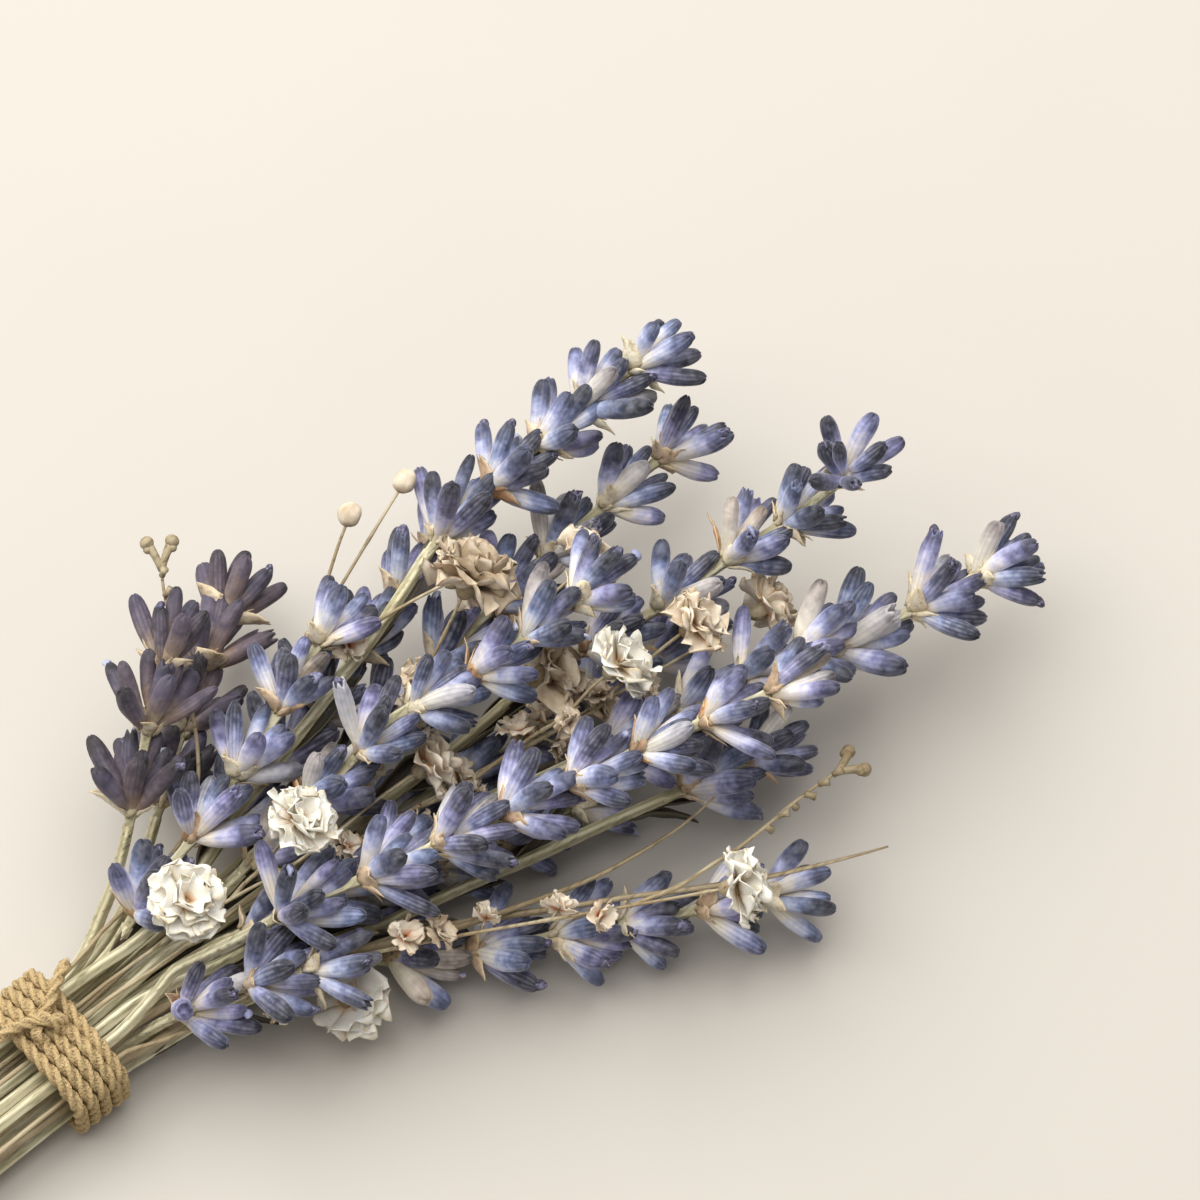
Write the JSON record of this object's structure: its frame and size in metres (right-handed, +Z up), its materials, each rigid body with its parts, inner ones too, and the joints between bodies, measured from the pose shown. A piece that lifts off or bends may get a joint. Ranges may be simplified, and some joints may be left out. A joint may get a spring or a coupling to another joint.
{
  "type": "bunch of dried lavender",
  "caption": "Small tied bunch of dried lavender spikes with a little baby's breath, lying flat on a table",
  "frame": {"origin": "on the table, under the middle of the bunch's bounding box", "axes": "+X along the bunch from the cut ends to the flower heads, +Z up"},
  "size_m": [0.1736, 0.0702, 0.0327],
  "materials": {
    "lavender_stem": "matte, dry, square straw-green stems",
    "lavender_bud": "velvety matte, pale at the base, blue-violet to slate at the tip",
    "faded_lavender": "matte, dull brown-purple",
    "babys_breath_stem": "matte, thin wiry dry stems",
    "white_petal": "papery, crumpled, slightly translucent",
    "cream_petal": "papery, crumpled, aged to cream",
    "aged_petal": "papery, shrivelled, aged to beige and brown",
    "dry_grass": "matte, dry",
    "twine": "twisted plant-fibre twine"
  },
  "bodies": {
    "root": {"lavender_stem_01": "lavender_stem", "lavender_head_01": "lavender_bud", "lavender_stem_02": "lavender_stem", "lavender_head_02": "lavender_bud", "lavender_stem_03": "lavender_stem", "lavender_head_03": "lavender_bud", "lavender_stem_04": "lavender_stem", "lavender_head_04": "lavender_bud", "lavender_stem_05": "lavender_stem", "lavender_head_05": "lavender_bud", "lavender_stem_06": "lavender_stem", "lavender_head_06": "lavender_bud", "lavender_stem_07": "lavender_stem", "lavender_head_07": "lavender_bud", "lavender_stem_08": "lavender_stem", "lavender_head_08": "lavender_bud", "lavender_stem_09": "lavender_stem", "lavender_head_09": "lavender_bud", "lavender_stem_10": "lavender_stem", "lavender_head_10": "lavender_bud", "lavender_stem_11": "lavender_stem", "lavender_head_11": "lavender_bud", "lavender_stem_12": "lavender_stem", "lavender_head_12": "lavender_bud", "lavender_stem_13": "lavender_stem", "lavender_head_13": "faded_lavender", "lavender_stem_14": "lavender_stem", "lavender_head_14": "faded_lavender", "lavender_stem_15": "lavender_stem", "lavender_head_15": "lavender_bud", "lavender_stem_16": "lavender_stem", "lavender_head_16": "lavender_bud", "lavender_stem_17": "lavender_stem", "lavender_head_17": "lavender_bud", "babys_breath_spray_01": "babys_breath_stem", "babys_breath_spray_02": "babys_breath_stem", "babys_breath_spray_03": "babys_breath_stem", "babys_breath_spray_04": "babys_breath_stem", "babys_breath_spray_05": "babys_breath_stem", "cream_bloom_01": "cream_petal", "cream_bloom_02": "cream_petal", "aged_bloom_03": "aged_petal", "aged_bloom_04": "aged_petal", "cream_bloom_05": "cream_petal", "cream_bloom_06": "cream_petal", "white_bloom_07": "white_petal", "white_bloom_08": "white_petal", "white_bloom_09": "white_petal", "cream_bloom_10": "cream_petal", "white_bloom_11": "white_petal", "white_bloom_12": "white_petal", "grass_stalk_01": "dry_grass", "grass_stalk_02": "dry_grass", "tie": "twine"}
  },
  "joints": []
}
